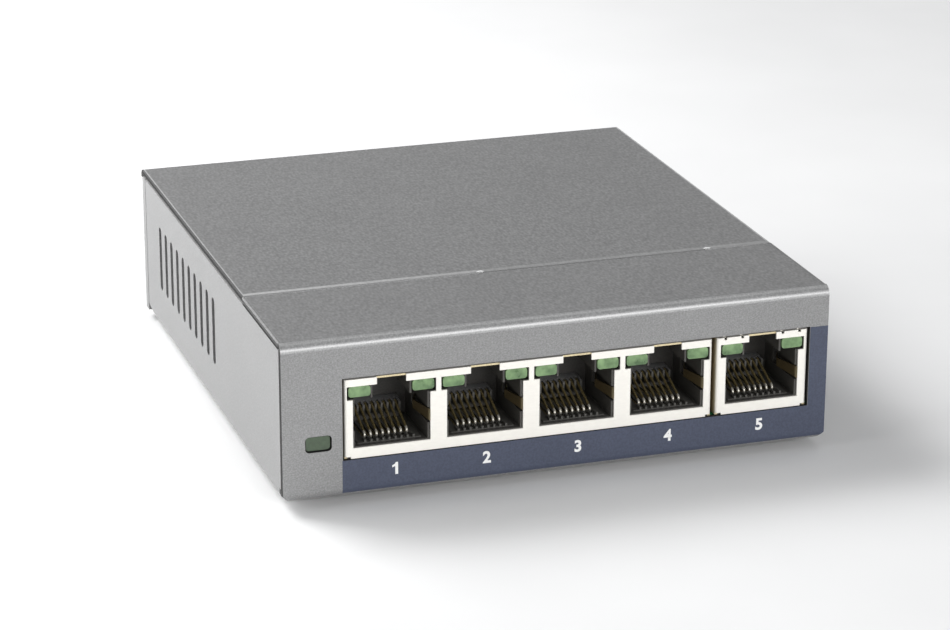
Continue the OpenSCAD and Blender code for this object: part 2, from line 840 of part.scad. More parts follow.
module switch_chip() {
    row = (chip_leads - 1) / 2;
    color([0.13, 0.13, 0.13]) translate([chip_spot[0], chip_spot[1], jack_z]) {
        span([-chip_w / 2, chip_w / 2], [-chip_w / 2, chip_w / 2], [chip_lift, chip_h]);
        for (turn = [0:90:270], k = [-row:row]) rotate(turn)
            translate([k * chip_lead_pitch, chip_w / 2, chip_lead[2] / 2]) cube(chip_lead, center = true);
    }
}

module thermal_pad() {
    color([0.6, 0.75, 0.85]) translate([chip_spot[0], chip_spot[1], jack_z])
        span([-chip_w / 2, chip_w / 2], [-chip_w / 2, chip_w / 2], [chip_h, chip_h + pad_t]);
}

module heatsink() {
    pitch = (sink_w - sink_fin_t) / (sink_fins - 1);
    color([0.7, 0.7, 0.72]) translate([chip_spot[0], chip_spot[1], jack_z + chip_h + pad_t]) {
        span([-sink_w / 2, sink_w / 2], [-sink_w / 2, sink_w / 2], [0, sink_base]);
        for (k = [0:sink_fins - 1]) translate([-sink_w / 2 + k * pitch, -sink_w / 2, 0])
            cube([sink_fin_t, sink_w, sink_h]);
    }
}

// A small chip with a row of leads on two sides
module eight_pin_chip(spot) {
    row = (small_chip_leads - 1) / 2;
    translate([spot[0], spot[1], jack_z]) {
        span([-small_chip[0] / 2, small_chip[0] / 2], [-small_chip[1] / 2, small_chip[1] / 2],
            [chip_lift, small_chip[2]]);
        for (k = [-row:row], side = [-1, 1])
            translate([k * small_chip_pitch, side * small_chip[1] / 2, small_chip_lead[2] / 2])
                cube(small_chip_lead, center = true);
    }
}

module flash_chip() {
    color([0.13, 0.13, 0.13]) eight_pin_chip(flash_spot);
}

module regulator() {
    color([0.13, 0.13, 0.13]) eight_pin_chip(regulator_spot);
}

module crystal() {
    color([0.78, 0.78, 0.8]) translate([crystal_spot[0], crystal_spot[1], jack_z])
        linear_extrude(crystal_size[2])
            rounded_rect(crystal_size[0], crystal_size[1], crystal_size[1] / 2 - slot_flat);
}

module inductor() {
    color([0.25, 0.25, 0.26]) translate([inductor_spot[0], inductor_spot[1], jack_z])
        linear_extrude(inductor_h) rounded_rect(inductor_w, inductor_w, inductor_edge_r);
}

// Electrolytic cans with a crimped groove near the foot
module capacitors() {
    color([0.2, 0.22, 0.3]) for (spot = can_spots) translate([spot[0], spot[1], jack_z])
        difference() {
            cylinder(r = can_r, h = can_h);
            translate([0, 0, can_groove_z]) rotate_extrude() translate([can_r + can_groove_r / 3, 0])
                circle(can_groove_r);
        }
}

// Light bar behind the window in the front panel, with its flange held by the holder
module power_led_lens() {
    color([0.36, 0.45, 0.34]) translate([lens_x, 0, lens_z])
        along_y(front_y + lens_recess, front_y + lens_recess + lens_l)
            rounded_rect(lens_w, lens_h, lens_edge_r);
}

module power_led_holder() {
    color([0.1, 0.1, 0.1]) difference() {
        span([lens_x - holder_w / 2, lens_x + holder_w / 2], holder_y,
            [jack_z, lens_z + lens_h / 2 + holder_wall]);
        translate([lens_x, 0, lens_z]) along_y(front_y, front_y + lens_recess + lens_l)
            rounded_rect(lens_w, lens_h, lens_edge_r);
    }
}

// Power inlet at the back, and the places of its solder tails
function dc_tail_spots() = [rear_y - dc_pin_inset - dc_pin_l + dc_tail_t / 2, rear_y - dc_spring_y[3]];

// Carries its children to the middle of the inlet's face, with Y pointing into the case
module at_inlet() {
    translate([dc_x, rear_y, jack_z + dc_axis]) mirror([0, 1, 0]) children();
}

// A round bar from the inlet's face into the case
module inlet_bar(r, y0, y1) {
    translate([0, y0, 0]) rotate([-90, 0, 0]) cylinder(r = r, h = y1 - y0);
}

module dc_jack_body() {
    color([0.1, 0.1, 0.1]) at_inlet() difference() {
        span([-dc_w / 2, dc_w / 2], [0, dc_l], [-dc_axis, dc_h - dc_axis]);
        inlet_bar(dc_bore_d / 2, -cut, dc_bore_l);
        inlet_bar(dc_shank_r + screw_fit, dc_bore_l - cut, dc_l + cut);
        span([-dc_slot_w / 2, dc_slot_w / 2], [dc_slot_y, dc_bore_l + cut], [-dc_axis - cut, 0]);
        span([-dc_slot_w / 2, dc_slot_w / 2], [dc_pin_inset + dc_pin_l - dc_tail_room, dc_l + cut],
            [-dc_axis - cut, dc_pin_d]);
    }
}

module dc_jack_pin() {
    color([0.8, 0.8, 0.82]) at_inlet() {
        inlet_bar(dc_pin_d / 2, dc_pin_inset, dc_bore_l + cut);
        inlet_bar(dc_shank_r, dc_bore_l, dc_pin_inset + dc_pin_l);
        span([-dc_tail_w / 2, dc_tail_w / 2], [dc_pin_inset + dc_pin_l - dc_tail_t, dc_pin_inset + dc_pin_l],
            [-dc_axis - leg_h, 0]);
    }
}

// Leaf that presses on the plug's sleeve, with its tail down through the board
module dc_jack_spring() {
    y = dc_spring_y;
    low = dc_spring_up - dc_axis;
    rest = dc_spring_rise - dc_bore_d / 2;
    tail = [y[3] - dc_tail_t / 2, y[3] + dc_tail_t / 2];
    color([0.75, 0.72, 0.6]) at_inlet() along_x(dc_spring_w) polygon([
        [y[0], low], [y[1], rest], [y[2], rest], [y[3], low],
        [tail[1], low], [tail[1], -dc_axis - leg_h],
        [tail[0], -dc_axis - leg_h], [tail[0], low - dc_spring_t / 2],
        [y[2], rest - dc_spring_t], [y[1], rest - dc_spring_t], [y[0] + dc_spring_t, low - dc_spring_t]
    ]);
}

// Reset switch on the board and its plunger behind the pinhole
module at_reset() {
    translate([reset_x, reset_tip, jack_z + reset_z]) mirror([0, 1, 0]) children();
}

module reset_switch() {
    color([0.15, 0.15, 0.15]) at_reset() difference() {
        span([-reset_body[0] / 2, reset_body[0] / 2], [reset_out, reset_out + reset_body[1]],
            [-reset_z, reset_body[2] - reset_z]);
        inlet_bar(reset_d / 2 + reset_play, reset_out - cut, reset_out + reset_bore_l);
    }
}

module reset_button() {
    color([0.75, 0.2, 0.15]) at_reset() inlet_bar(reset_d / 2, 0, reset_out + reset_in);
}

base_tray();
top_cover();
case_screws();
rubber_feet();
standoffs();
pcb();
pcb_screws();
quad_jack_shield();
quad_jack_housing();
single_jack_shield();
single_jack_housing();
for (i = [1:5]) {
    contact_carrier(i);
    contacts(i);
    contact_leads(i);
    port_leds(i);
    magnetics(i);
}
switch_chip();
thermal_pad();
heatsink();
flash_chip();
crystal();
regulator();
inductor();
capacitors();
power_led_holder();
power_led_lens();
dc_jack_body();
dc_jack_pin();
dc_jack_spring();
reset_switch();
reset_button();
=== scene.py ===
"""Looks of a desktop network switch with five ports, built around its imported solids."""

import math

import bpy
from mathutils import Matrix, Vector


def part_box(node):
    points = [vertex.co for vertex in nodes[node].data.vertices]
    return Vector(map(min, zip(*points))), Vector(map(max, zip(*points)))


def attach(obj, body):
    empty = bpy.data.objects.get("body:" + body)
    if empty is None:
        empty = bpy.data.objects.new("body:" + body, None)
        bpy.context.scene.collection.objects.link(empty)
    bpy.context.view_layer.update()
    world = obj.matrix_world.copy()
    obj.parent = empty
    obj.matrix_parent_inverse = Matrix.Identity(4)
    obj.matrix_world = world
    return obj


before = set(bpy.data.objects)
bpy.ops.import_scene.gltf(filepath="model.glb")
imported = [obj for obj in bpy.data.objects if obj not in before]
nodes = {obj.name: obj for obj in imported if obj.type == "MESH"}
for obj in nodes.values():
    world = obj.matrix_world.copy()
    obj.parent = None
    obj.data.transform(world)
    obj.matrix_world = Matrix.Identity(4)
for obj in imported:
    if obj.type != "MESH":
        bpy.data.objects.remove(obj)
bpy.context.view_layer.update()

MM = 0.001

# Sheet of the case, as the solids have it
SHEET_T = 0.8 * MM
BEND_R = 1.5 * MM
EDGE_R = 0.25 * MM
WALL_GAP = 0.4 * MM
STRIP_INSET = 0.25 * MM
STRIP_D = 24.4 * MM
SEAM_GAP = 0.3 * MM
tray_low, tray_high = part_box("base_tray")
cover_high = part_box("top_cover")[1]
SIDE_X = tray_high.x
FRONT_Y = tray_low.y
REAR_Y = cover_high.y
CASE_Z = tray_low.z
ROOF_Z = cover_high.z
COVER_X = cover_high.x
WALL_Z = ROOF_Z - SHEET_T - WALL_GAP
STRIP_X = COVER_X - STRIP_INSET
STRIP_Y = FRONT_Y + STRIP_D
SEAM_Y = STRIP_Y + SEAM_GAP
NOTCH_X = [-5.75 * MM, 35.25 * MM]
NOTCH_R = 0.4 * MM

# Range that most of a noise lies in
NOISE_LOW, NOISE_HIGH = 0.3, 0.7

# Coat of the case: its tones from dark flakes to pale ones, and how much it shines
COAT_TONES = [(0.25, 0.226), (0.5, 0.28), (0.75, 0.341)]
COAT_MIDDLE = COAT_TONES[1][1]
COAT_ROUGH = (0.32, 0.38)
COAT_GRAIN = 0.28 * MM
COAT_METAL = 0.36
FLAKE_STRETCH = (1, 2, 0.75)
CLOUD_GRAIN = 14 * MM
CLOUD_TONE = 0.95
RELIEF_GRAIN = 0.25 * MM
RELIEF_DEPTH = 0.002 * MM
RELIEF_STRENGTH = 0.2

# Coat on the top, and the lighter coat on the bend of the front that is a painted highlight
TOP_ROUGH = (0.55, 0.62)
TOP_GRAIN = 0.42 * MM
TOP_METAL = 0.05
TOP_LIFT = 0.68
TOP_CONTRAST = 1.1
BEND_HIGHLIGHT_LIFT = 1.25
BEND_ROUGH = (0.36, 0.42)

# Painted highlight along the rim of the cover, and painted glints at its notches
RIM_HIGHLIGHT_TONE = 0.385
RIM_X = 0.22 * MM
RIM_Y = 0.8 * MM
RIM_SOFT = 0.12 * MM
RIM_SPREAD = 0.12
NOTCH_SHINE = 0.85 * MM
NOTCH_GLINT_TONE = 0.85
# How strong the rim's painted highlight is along the seam, from the left side to the right: bright up to the
# tongue
RIM_SHARE = [(0.0, 1.0), (0.435, 0.65), (0.44, 0.28), (0.87, 0.28), (0.88, 0.35)]

# Upper edge of the side walls: painted shade under the strip, and a paler tone under the cover that is
# painted light
STRIP_SHADE_TONE, COVER_LIGHT_TONE = 0.12, 0.42
SHADE_BLEND_SOFT = 0.2 * MM

# Printed band on the front panel, and the numbers on it
BAND_LEFT = -37.1 * MM
BAND_BLOCK_LEFT = 43.8 * MM
BAND_WRAP = math.radians(34)
ARC_STEPS = 8
BAND_TOP = CASE_Z + 6.3 * MM
BAND_BLOCK_TOP = CASE_Z + 20.2 * MM
CORNER_CUT = 1.2 * MM
INK_T = 0.008 * MM
STRIP_LIFT = 0.008 * MM
NUMBER_X = [-28.3 * MM, -12.75 * MM, 2.97 * MM, 18.75 * MM, 35.06 * MM]
NUMBER_Z = CASE_Z + 4.0 * MM
NUMBER_H = 2.1 * MM
NUMBER_BOLD = 0.035
# Outline of a one with a flag, for a height of 1
FIGURE_ONE = [(0.24, 0), (0.47, 0), (0.47, 1), (0.29, 1), (0.2, 0.86), (0, 0.76), (0, 0.58), (0.24, 0.68)]

# Jacks: face of the shields, and the depth behind it where the contact wires are bent
JACK_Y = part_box("quad_jack_shield")[0].y
COMB_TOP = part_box("contact_carrier_1")[1].z
SHIELD_T = 0.3 * MM
SPRING_X = 7 * MM
SPRING_DEPTH = 10 * MM
PORT_X = [sum(p.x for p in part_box(f"contacts_{i}")) / 2 for i in range(1, 6)]
LENS_LOW, LENS_HIGH = (p.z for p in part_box("port_leds_1"))
WIRE_BEND_Y = JACK_Y + 4.2 * MM

# Slack in where a face lies, and bounds on the parts of its normal
SLACK = 0.05 * MM
NOTCH_SLACK = 0.02 * MM
TILTED = 0.02
RISING = 0.05
ACROSS = 0.1
BEND_TILT = 0.2
SIDEWAYS = 0.5
FACING = 0.9
LEVEL = 0.99


# Materials


class Finish:
    """A Principled material with noise in object space to drive its colour, roughness and relief."""

    def __init__(self, name, metallic=0.0, **sockets):
        self.material = bpy.data.materials.new(name)
        self.material.use_nodes = True
        self.tree = self.material.node_tree
        self.shader = self.tree.nodes["Principled BSDF"]
        self.shader.inputs["Metallic"].default_value = metallic
        for socket, value in sockets.items():
            self.shader.inputs[socket.replace("_", " ")].default_value = value
        self.place = self.node("ShaderNodeTexCoord").outputs["Object"]

    def node(self, kind, **inputs):
        made = self.tree.nodes.new(kind)
        for socket, value in inputs.items():
            made.inputs[socket.replace("_", " ")].default_value = value
        return made

    def link(self, source, target):
        self.tree.links.new(source, target)

    def along(self, axis, start, end):
        """Runs from 0 to 1 between two places along an axis."""
        parts = self.node("ShaderNodeSeparateXYZ")
        self.link(self.place, parts.inputs["Vector"])
        return self.spread(parts.outputs[axis], 0.0, 1.0, start, end)

    def noise(self, grain, detail=2.0, rough=0.5, stretch=(1, 1, 1)):
        """Noise whose features are about grain wide, drawn out along an axis by stretch."""
        mapping = self.node("ShaderNodeMapping")
        mapping.inputs["Scale"].default_value = [1 / (grain * s) for s in stretch]
        self.link(self.place, mapping.inputs["Vector"])
        noise = self.node("ShaderNodeTexNoise", Scale=1.0, Detail=detail, Roughness=rough)
        self.link(mapping.outputs["Vector"], noise.inputs["Vector"])
        return noise.outputs["Fac"]

    def near(self, spot, reach):
        """Runs from 1 round a spot to 0 at a reach from it, over the last 0.3 of the way."""
        gap = self.node("ShaderNodeVectorMath")
        gap.operation = "DISTANCE"
        gap.inputs[1].default_value = spot
        self.link(self.place, gap.inputs[0])
        return self.spread(gap.outputs["Value"], 1.0, 0.0, 0.7 * reach, reach)

    def ramp(self, factor, stops):
        ramp = self.node("ShaderNodeValToRGB")
        elements = ramp.color_ramp.elements
        while len(elements) < len(stops):
            elements.new(0.5)
        for element, (place, colour) in zip(elements, stops):
            element.position = place
            element.color = (*colour, 1)
        self.link(factor, ramp.inputs["Fac"])
        return ramp.outputs["Color"]

    def tinted(self, noise, dark, light):
        """A colour that goes from a dark tone to a light one with a noise."""
        return self.ramp(noise, [(NOISE_LOW, dark), (NOISE_HIGH, light)])

    def combine(self, kind, first, second):
        """Puts two values together, by a named operation."""
        made = self.node("ShaderNodeMath")
        made.operation = kind
        self.link(first, made.inputs[0])
        self.link(second, made.inputs[1])
        return made.outputs["Value"]

    def blend(self, kind, factor, first, second):
        mix = self.node("ShaderNodeMix")
        mix.data_type = "RGBA"
        mix.blend_type = kind
        if isinstance(factor, float):
            mix.inputs["Factor"].default_value = factor
        else:
            self.link(factor, mix.inputs["Factor"])
        self.link(first, mix.inputs["A"])
        self.link(second, mix.inputs["B"])
        return mix.outputs["Result"]

    def spread(self, factor, low, high, start=NOISE_LOW, end=NOISE_HIGH):
        """Maps a range of a value, by default that of a noise, to another range."""
        span = self.node("ShaderNodeMapRange")
        for socket, value in zip(("From Min", "From Max", "To Min", "To Max"), (start, end, low, high)):
            span.inputs[socket].default_value = value
        self.link(factor, span.inputs["Value"])
        return span.outputs["Result"]

    def colour(self, source):
        self.link(source, self.shader.inputs["Base Color"])
        return self

    def roughness(self, source):
        self.link(source, self.shader.inputs["Roughness"])
        return self

    def relief(self, height, depth, strength=1.0):
        bump = self.node("ShaderNodeBump", Strength=strength, Distance=depth)
        self.link(height, bump.inputs["Height"])
        self.link(bump.outputs["Normal"], self.shader.inputs["Normal"])
        return self


def grey(tone):
    return (tone,) * 3


def tones(colour, spread):
    """A darker and a lighter tone of a colour."""
    return tuple(c * (1 - spread) for c in colour), tuple(min(1.0, c * (1 + spread)) for c in colour)


def grained(name, colour, spread, grain, rough, depth, metallic=0.0, stretch=(1, 1, 1), **sockets):
    """A plain finish: one grain that moves the colour, the roughness and the surface a little."""
    finish = Finish(name, metallic, **sockets)
    noise = finish.noise(grain, 3.0, 0.55, stretch)
    finish.colour(finish.tinted(noise, *tones(colour, spread)))
    finish.roughness(finish.spread(noise, *rough))
    return finish.relief(noise, depth).material


def coat(name, lift=1.0, rough=COAT_ROUGH, grain=COAT_GRAIN, metallic=COAT_METAL, contrast=1.0):
    """Grey coat of the case: fine pale and dark flakes in a faintly clouded ground."""
    finish = Finish(name, metallic)
    flake = finish.noise(grain, 1.0, 0.4, FLAKE_STRETCH)
    cloud = finish.noise(CLOUD_GRAIN, 2.0)
    stops = []
    for place, tone in COAT_TONES:
        stops.append((place, grey((COAT_MIDDLE + (tone - COAT_MIDDLE) * contrast) * lift)))
    ground = finish.ramp(flake, stops)
    shade = finish.tinted(cloud, grey(CLOUD_TONE), grey(1.0))
    finish.colour(finish.blend("MULTIPLY", 1.0, ground, shade))
    finish.roughness(finish.spread(flake, *rough))
    return finish.relief(finish.noise(RELIEF_GRAIN, 2.0), RELIEF_DEPTH, RELIEF_STRENGTH)


def top_coat(name):
    """The coat on top of the case, which is coarser and less shiny than on the other faces."""
    return coat(name, TOP_LIFT, TOP_ROUGH, TOP_GRAIN, TOP_METAL, TOP_CONTRAST)


def rimmed_coat():
    """The coat on top of the cover, with a painted highlight along its sides, a weaker one along the seam,
    and painted glints at its notches.
    """
    finish = top_coat("cover_coat")
    edge_x = COVER_X - EDGE_R
    edge_y = SEAM_Y + EDGE_R
    left = finish.along("X", RIM_X + RIM_SOFT - edge_x, RIM_X - edge_x)
    right = finish.along("X", edge_x - RIM_X - RIM_SOFT, edge_x - RIM_X)
    seam = finish.along("Y", edge_y + RIM_Y + 2 * RIM_SOFT, edge_y + RIM_Y)
    across = finish.along("X", -SIDE_X, SIDE_X)
    share = finish.ramp(across, [(place, grey(part)) for place, part in RIM_SHARE])
    front = finish.combine("MULTIPLY", seam, share)
    rim = finish.combine("MAXIMUM", front, finish.combine("MAXIMUM", left, right))
    # Painted glint round each notch of the cover
    notch_glint = finish.combine("MAXIMUM", *(finish.near((x, SEAM_Y, ROOF_Z), NOTCH_SHINE) for x in NOTCH_X))
    grain = finish.noise(0.6 * MM)
    pale, bright = (
        finish.tinted(grain, *tones(grey(tone), RIM_SPREAD)) for tone in (RIM_HIGHLIGHT_TONE, NOTCH_GLINT_TONE)
    )
    plain = finish.shader.inputs["Base Color"].links[0].from_socket
    # Painted highlight along the rim
    highlight_mix = finish.blend("MIX", rim, plain, pale)
    return finish.colour(finish.blend("MIX", notch_glint, highlight_mix, bright))


def wall_top():
    """Upper edge of the side walls: painted light under the cover, and painted shade under the strip."""
    finish = Finish("wall_top", 0.3)
    grain = finish.noise(0.3 * MM, 3.0, 0.55)
    painted_shade, painted_light = (
        finish.tinted(grain, *tones(grey(tone), 0.15)) for tone in (STRIP_SHADE_TONE, COVER_LIGHT_TONE)
    )
    finish.colour(finish.blend("MIX", finish.along("Y", SEAM_Y - SHADE_BLEND_SOFT, SEAM_Y), painted_shade, painted_light))
    finish.roughness(finish.spread(grain, 0.4, 0.5))
    return finish.relief(grain, 0.003 * MM)


def printed_ink():
    """Blue-grey ink: it lies over the coat, so the flakes show through a little."""
    finish = Finish("band_ink", 0.1)
    flake = finish.noise(0.3 * MM, 1.0, 0.4)
    cloud = finish.noise(9 * MM, 2.0)
    ground = finish.tinted(flake, (0.053, 0.063, 0.1), (0.068, 0.081, 0.126))
    shade = finish.tinted(cloud, grey(0.94), grey(1.0))
    finish.colour(finish.blend("MULTIPLY", 1.0, ground, shade))
    finish.roughness(finish.spread(flake, 0.4, 0.5))
    return finish.relief(flake, 0.002 * MM, 0.4).material


def contact_wire():
    """Gold plate on the contact wires, with a pale painted highlight round the front bend."""
    finish = Finish("contact_wire", 0.65)
    grain = finish.noise(0.2 * MM)
    gold = finish.tinted(grain, (0.215, 0.168, 0.074), (0.31, 0.245, 0.114))
    pale_highlight = finish.tinted(grain, (0.6, 0.57, 0.5), (0.74, 0.7, 0.62))
    highlight_mix = finish.along("Y", WIRE_BEND_Y - 0.3 * MM, WIRE_BEND_Y)
    finish.colour(finish.blend("MIX", highlight_mix, pale_highlight, gold))
    finish.roughness(finish.spread(grain, 0.22, 0.36))
    return finish.relief(grain, 0.003 * MM).material


def tarnished(name, colour, shade_colour, start, end, metallic):
    """Bright metal at the front of a jack that darkens to brown between two depths behind it, as painted
    shade.
    """
    finish = Finish(name, metallic)
    grain = finish.noise(0.25 * MM, 3.0, 0.55)
    bright, depth_shaded = (finish.tinted(grain, *tones(c, 0.12)) for c in (colour, shade_colour))
    finish.colour(finish.blend("MIX", finish.along("Y", JACK_Y + start, JACK_Y + end), bright, depth_shaded))
    finish.roughness(finish.spread(grain, 0.28, 0.42))
    return finish.relief(grain, 0.004 * MM).material


def port_lens():
    """Clear green plastic over a port, darker towards its lower edge, which is painted shade."""
    finish = Finish("port_lens", 0.0, Coat_Weight=0.4)
    grain = finish.noise(1.6 * MM, 3.0, 0.55)
    low = finish.tinted(grain, (0.06, 0.125, 0.045), (0.2, 0.33, 0.145))
    high = finish.tinted(grain, (0.09, 0.175, 0.065), (0.26, 0.41, 0.185))
    rise = finish.along("Z", LENS_LOW + 0.6 * MM, LENS_HIGH)
    finish.colour(finish.blend("MIX", rise, low, high))
    finish.roughness(finish.spread(grain, 0.25, 0.4))
    return finish.relief(grain, 0.01 * MM).material


# Cut edges without a coat hardly shine, and neither do the roundings darkened as painted shade
MATT = {"Specular_IOR_Level": 0.1}

STEEL = coat("coated_steel").material
TOP_COAT = top_coat("top_coat").material
# The bend's coat is lighter than the rest, as a painted highlight along the bend
BEND_HIGHLIGHT_COAT = coat("bend_coat_painted_highlight", BEND_HIGHLIGHT_LIFT, BEND_ROUGH).material
COVER_COAT = rimmed_coat().material
WALL_TOP = wall_top().material
# The seam's rounding is given a faint painted highlight
SEAM_HIGHLIGHT_EDGE = grained("seam_painted_highlight", grey(0.3), 0.1, 0.3 * MM, (0.34, 0.44), 0.002 * MM, 0.3)
SHADED_EDGE = grained("shaded_edge", grey(0.09), 0.1, 0.3 * MM, (0.6, 0.7), 0.002 * MM, **MATT)
# The rounding over the tongue is darkened a little, as painted shade in the seam
TONGUE_SHADE_EDGE = grained("tongue_painted_shade", grey(0.24), 0.1, 0.3 * MM, (0.5, 0.6), 0.002 * MM, **MATT)
STRIP_EDGE = grained("strip_edge", grey(0.23), 0.1, 0.3 * MM, (0.4, 0.5), 0.002 * MM, 0.3)
# Cut edges without a coat, made near black as painted shade of the gaps beside them
RAW_EDGE_AND_SHADE = grained("raw_edge_and_painted_shade", (0.036, 0.0355, 0.035), 0.25, 0.2 * MM, (0.6, 0.7), 0.006 * MM, **MATT)
# The walls of the notches are painted pale, as a painted glint
NOTCH_GLINT_STEEL = grained("notch_painted_glint", grey(0.85), 0.1, 0.2 * MM, (0.3, 0.45), 0.004 * MM, 0.4)
INK = printed_ink()
WHITE_INK = grained("number_ink", (0.86, 0.86, 0.85), 0.05, 0.15 * MM, (0.45, 0.6), 0.003 * MM)
# Brass edges and springs, and the shields' sides, darken with depth behind the jack's face as painted shade
BRASS_WITH_SHADE = tarnished("brass_with_painted_shade", (0.74, 0.63, 0.4), (0.17, 0.13, 0.07), 0.4 * MM, 0.9 * MM, 0.7)
SHIELD_SIDE = tarnished("shield_side", (0.86, 0.79, 0.6), (0.34, 0.27, 0.16), 0.4 * MM, 1.5 * MM, 0.3)
# The top of each comb is made paler, as painted light falling on it
COMB_TOP_LIGHT = grained("comb_top_painted_light", (0.22, 0.22, 0.225), 0.15, 0.25 * MM, (0.4, 0.55), 0.004 * MM)

SLOT_FINISH = {
    "painted_steel": STEEL,
    "screw_steel": grained("plated_screw", (0.62, 0.62, 0.63), 0.12, 0.3 * MM, (0.22, 0.38), 0.006 * MM, 1.0),
    "foot_rubber": grained("rubber", (0.022, 0.022, 0.023), 0.3, 0.35 * MM, (0.7, 0.9), 0.02 * MM),
    "standoff_brass": grained("brass", (0.68, 0.5, 0.22), 0.12, 0.4 * MM, (0.25, 0.4), 0.006 * MM, 1.0),
    "board_green": grained("solder_mask", (0.015, 0.11, 0.04), 0.25, 2.0 * MM, (0.25, 0.35), 0.01 * MM),
    "shield_tin": grained(
        "tinned_sheet", (0.918, 0.892, 0.832), 0.02, 0.35 * MM, (0.3, 0.4), 0.002 * MM, 0.3, (4, 4, 1)
    ),
    "jack_plastic": grained(
        "black_plastic", (0.061, 0.0575, 0.052), 0.25, 0.25 * MM, (0.38, 0.52), 0.008 * MM
    ),
    "carrier_plastic": grained(
        "comb_plastic", (0.08, 0.0765, 0.07), 0.25, 0.25 * MM, (0.4, 0.55), 0.008 * MM
    ),
    "contact_gold": contact_wire(),
    "lens_green": port_lens(),
    "power_green": grained(
        "power_lens", (0.053, 0.084, 0.046), 0.15, 0.7 * MM, (0.35, 0.45), 0.01 * MM, Coat_Weight=0.3
    ),
    "chip_epoxy": grained("epoxy", (0.018, 0.018, 0.019), 0.3, 0.15 * MM, (0.5, 0.65), 0.008 * MM),
    "pad_blue": grained("thermal_pad", (0.35, 0.52, 0.66), 0.1, 0.5 * MM, (0.7, 0.85), 0.02 * MM),
    "sink_aluminium": grained(
        "extruded_aluminium", (0.78, 0.78, 0.79), 0.08, 0.2 * MM, (0.28, 0.42), 0.006 * MM, 1.0, (1, 12, 1)
    ),
    "can_metal": grained("can_metal", (0.7, 0.7, 0.71), 0.08, 0.3 * MM, (0.2, 0.34), 0.004 * MM, 1.0),
    "ferrite": grained("ferrite", (0.06, 0.06, 0.065), 0.3, 0.3 * MM, (0.6, 0.8), 0.015 * MM),
    "can_sleeve": grained("can_sleeve", (0.03, 0.035, 0.07), 0.2, 0.5 * MM, (0.3, 0.42), 0.006 * MM),
    "spring_metal": grained("spring_metal", (0.68, 0.62, 0.45), 0.1, 0.3 * MM, (0.25, 0.4), 0.005 * MM, 1.0),
    "button_plastic": grained("button_plastic", (0.35, 0.03, 0.02), 0.15, 0.3 * MM, (0.4, 0.55), 0.008 * MM),
}


def within(value, low, high):
    """Whether a value lies clearly between two others."""
    return low + SLACK < value < high - SLACK


def beside_port(place):
    """How far a place is to the side of the nearest port's middle."""
    return min(abs(place.x - x) for x in PORT_X)


def is_rounding(place, normal):
    """Whether a face is part of the rounding along the edges of the top."""
    return (
        place.z > ROOF_Z - EDGE_R
        and RISING < normal.z < LEVEL
        and FRONT_Y + BEND_R < place.y < REAR_Y - BEND_R
    )


def is_seam_edge(place, normal):
    """Whether a face is the rounding of the cover along the seam, which is given a faint painted highlight.
    """
    return is_rounding(place, normal) and normal.y < -ACROSS


def is_tongue_edge(place, normal):
    """Whether a face is the rounding of the cover over its tongue, where the seam is deep."""
    return is_seam_edge(place, normal) and NOTCH_X[0] < place.x < NOTCH_X[1]


def is_shaded_edge(place, normal):
    """Whether a face is the rounding along the cover's sides, or of the strip along the seam."""
    at_side = abs(normal.x) > ACROSS and place.y > SEAM_Y
    return is_rounding(place, normal) and (normal.y > ACROSS or at_side)


def is_cut_edge(place, normal):
    """Whether a face lies across the sheet's thickness, where the coat was cut through; its near-black finish
    is also painted shade.
    """
    return (
        within(place.y, FRONT_Y, FRONT_Y + SHEET_T) and abs(normal.y) < ACROSS
        or within(place.y, REAR_Y - SHEET_T, REAR_Y) and abs(normal.y) < ACROSS
        or within(place.z, CASE_Z, CASE_Z + SHEET_T) and abs(normal.z) < ACROSS
        or within(place.z, ROOF_Z - SHEET_T, ROOF_Z) and abs(normal.x) > SIDEWAYS
    )


def is_strip_edge(place, normal):
    """Whether a face is the cut side of the strip, which is coated."""
    in_strip = FRONT_Y + BEND_R < place.y < SEAM_Y
    return in_strip and within(place.z, ROOF_Z - SHEET_T, ROOF_Z) and abs(normal.x) > FACING


def is_top_bend(place, normal):
    """Whether a face is on the outside of the bend between the front panel and the strip."""
    in_bend = place.y < FRONT_Y + BEND_R and place.z > ROOF_Z - BEND_R
    return in_bend and normal.y < -BEND_TILT and normal.z > TILTED


def is_top(place, normal):
    """Whether a face is part of the flat top."""
    return normal.z > LEVEL and place.z > ROOF_Z - SLACK


def is_cover_top(place, normal):
    """Whether a face is the flat top of the cover."""
    return is_top(place, normal) and place.y > SEAM_Y


def is_wall_top(place, normal):
    """Whether a face is the upper edge of a side wall."""
    return normal.z > FACING and abs(place.z - WALL_Z) < SLACK and abs(place.x) > SIDE_X - SHEET_T


def is_notch(place, normal):
    """Whether a face is the wall of a notch beside the cover's tongue."""
    beside = min(abs(place.x - x) for x in NOTCH_X)
    in_notch = max(beside, abs(place.y - SEAM_Y)) < NOTCH_R + NOTCH_SLACK
    return in_notch and within(place.z, ROOF_Z - SHEET_T, ROOF_Z) and abs(normal.z) < ACROSS


def is_bare_brass(place, normal):
    """Whether a face of a shield is a cut edge or part of a grounding spring, without its tin."""
    behind = place.y - JACK_Y
    if normal.y < -FACING:
        return SHIELD_T < behind < 2 * SHIELD_T
    slanted = TILTED < abs(normal.y) < FACING
    return slanted and SLACK < behind < SPRING_DEPTH and beside_port(place) < SPRING_X


def is_shield_side(place, normal):
    """Whether a face is the outer side of a shield."""
    behind = place.y > JACK_Y + 2 * SHIELD_T
    return behind and abs(normal.x) > FACING and beside_port(place) > SPRING_X


def is_comb_top(place, normal):
    """Whether a face is the upper edge of a comb."""
    return normal.z > FACING and place.z > COMB_TOP - SLACK


